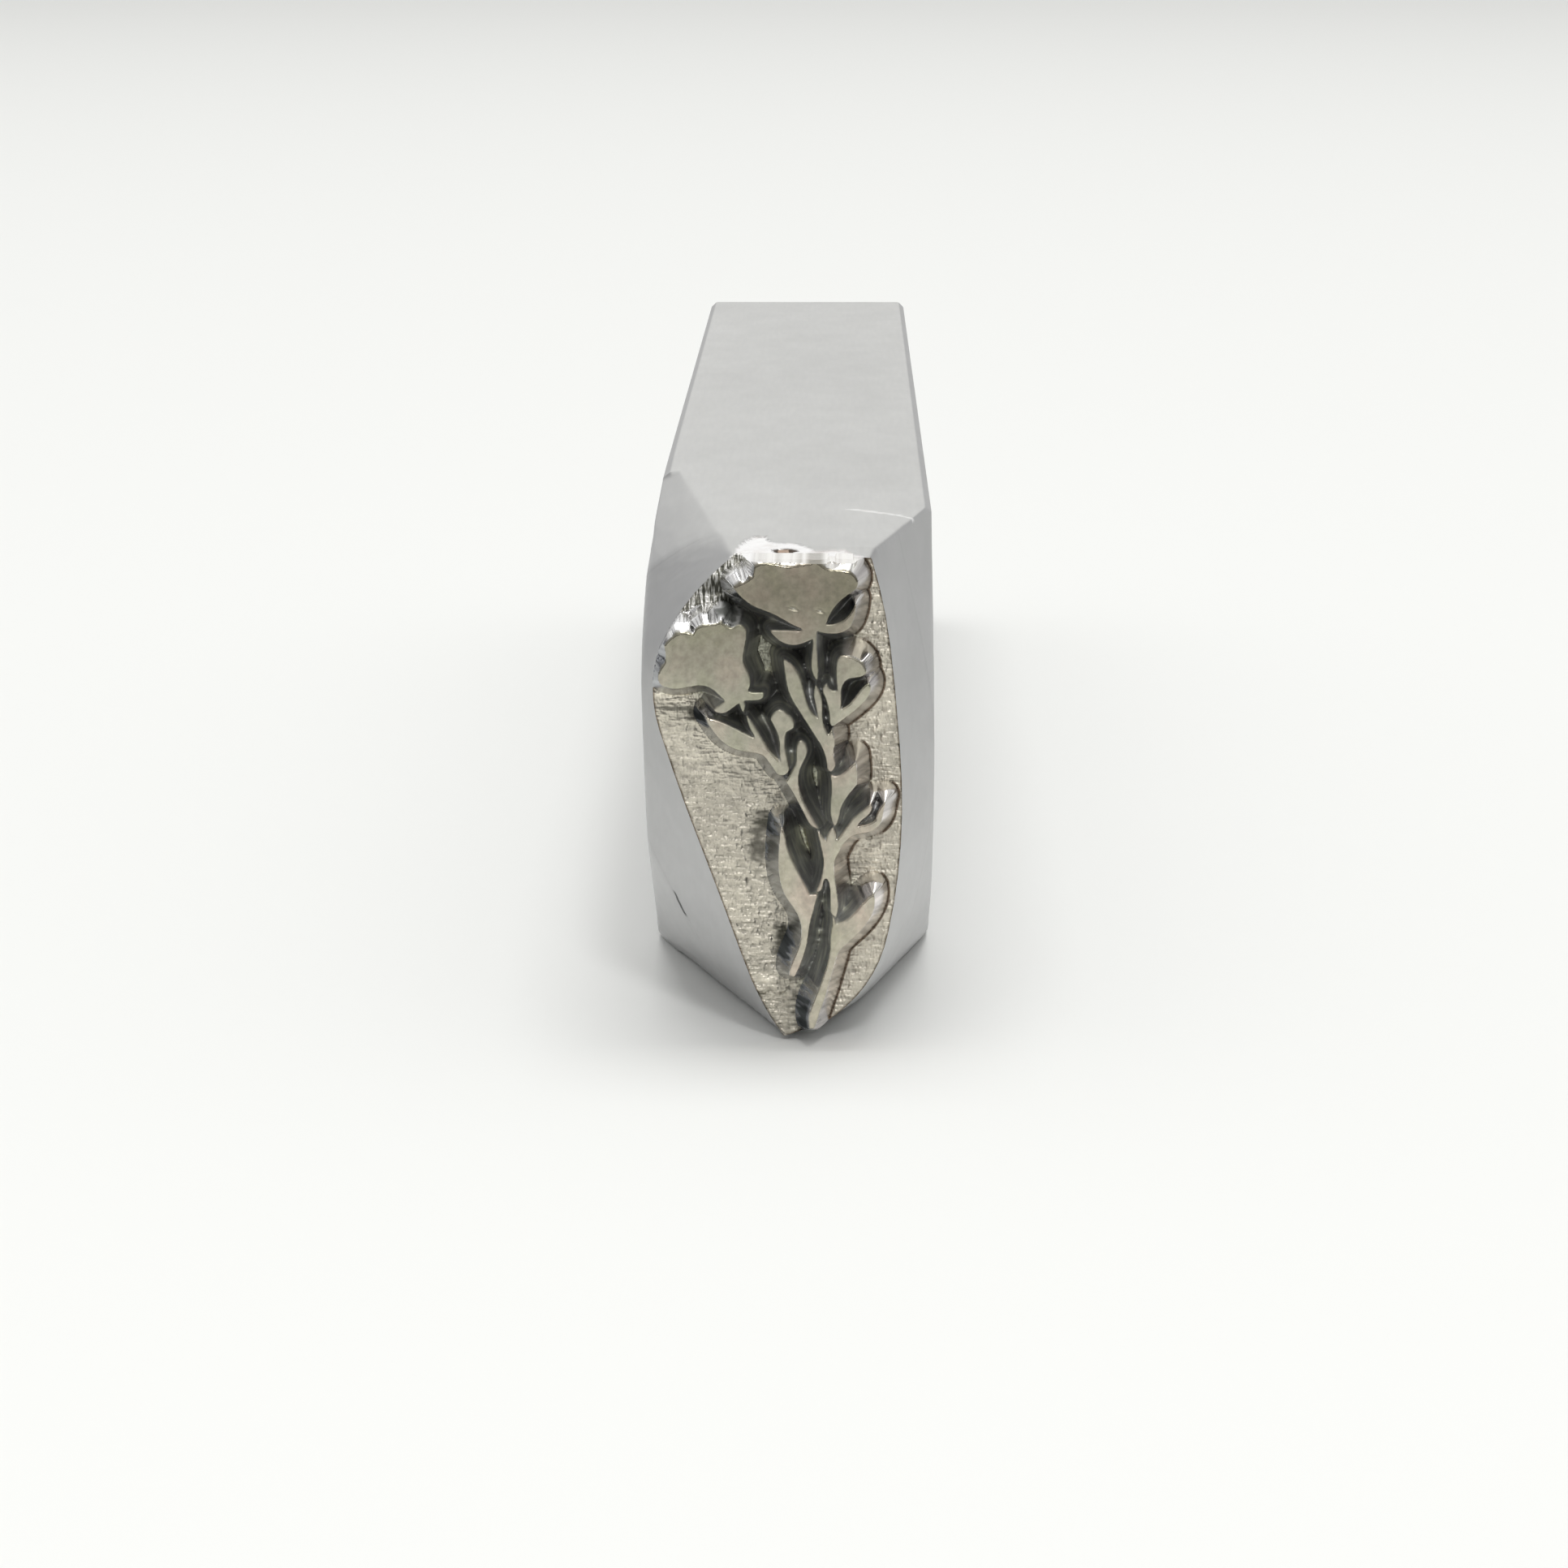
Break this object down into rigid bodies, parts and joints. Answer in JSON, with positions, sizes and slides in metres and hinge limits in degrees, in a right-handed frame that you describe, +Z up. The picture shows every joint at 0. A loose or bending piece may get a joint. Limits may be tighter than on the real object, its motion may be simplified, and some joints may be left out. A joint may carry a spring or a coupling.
{
  "type": "design punch for metal stamping",
  "caption": "Flat plated-steel hand punch with ground bevels and a milled face whose raised sprig of flowers, stems, buds and leaves is struck into soft metal.",
  "frame": {"origin": "middle of the underside, on the surface that the punch lies on", "axes": "+Y along the bar from the printing plane to the struck end, +Z up across the wide way of the bar, +X across the narrow way"},
  "size_m": [0.006, 0.065, 0.01],
  "materials": {
    "plated_bar": "satin plated steel",
    "plated_bevels": "fine matt plated steel, belt ground",
    "milled_steel": "bare tool steel with fine cutter lines",
    "printing_relief": "bare tool steel, smooth printing plane and dark milled walls"
  },
  "bodies": {
    "root": {"shank": "plated_bar", "nose": "plated_bevels", "milled_floor": "milled_steel", "large_bloom": "printing_relief", "small_bloom": "printing_relief", "left_leaf_and_bud": "printing_relief", "long_leaf": "printing_relief", "upper_bud": "printing_relief", "inner_leaf": "printing_relief", "right_leaf": "printing_relief", "main_stem_and_buds": "printing_relief", "lower_left_leaf": "printing_relief", "lower_right_leaf": "printing_relief"}
  },
  "joints": []
}
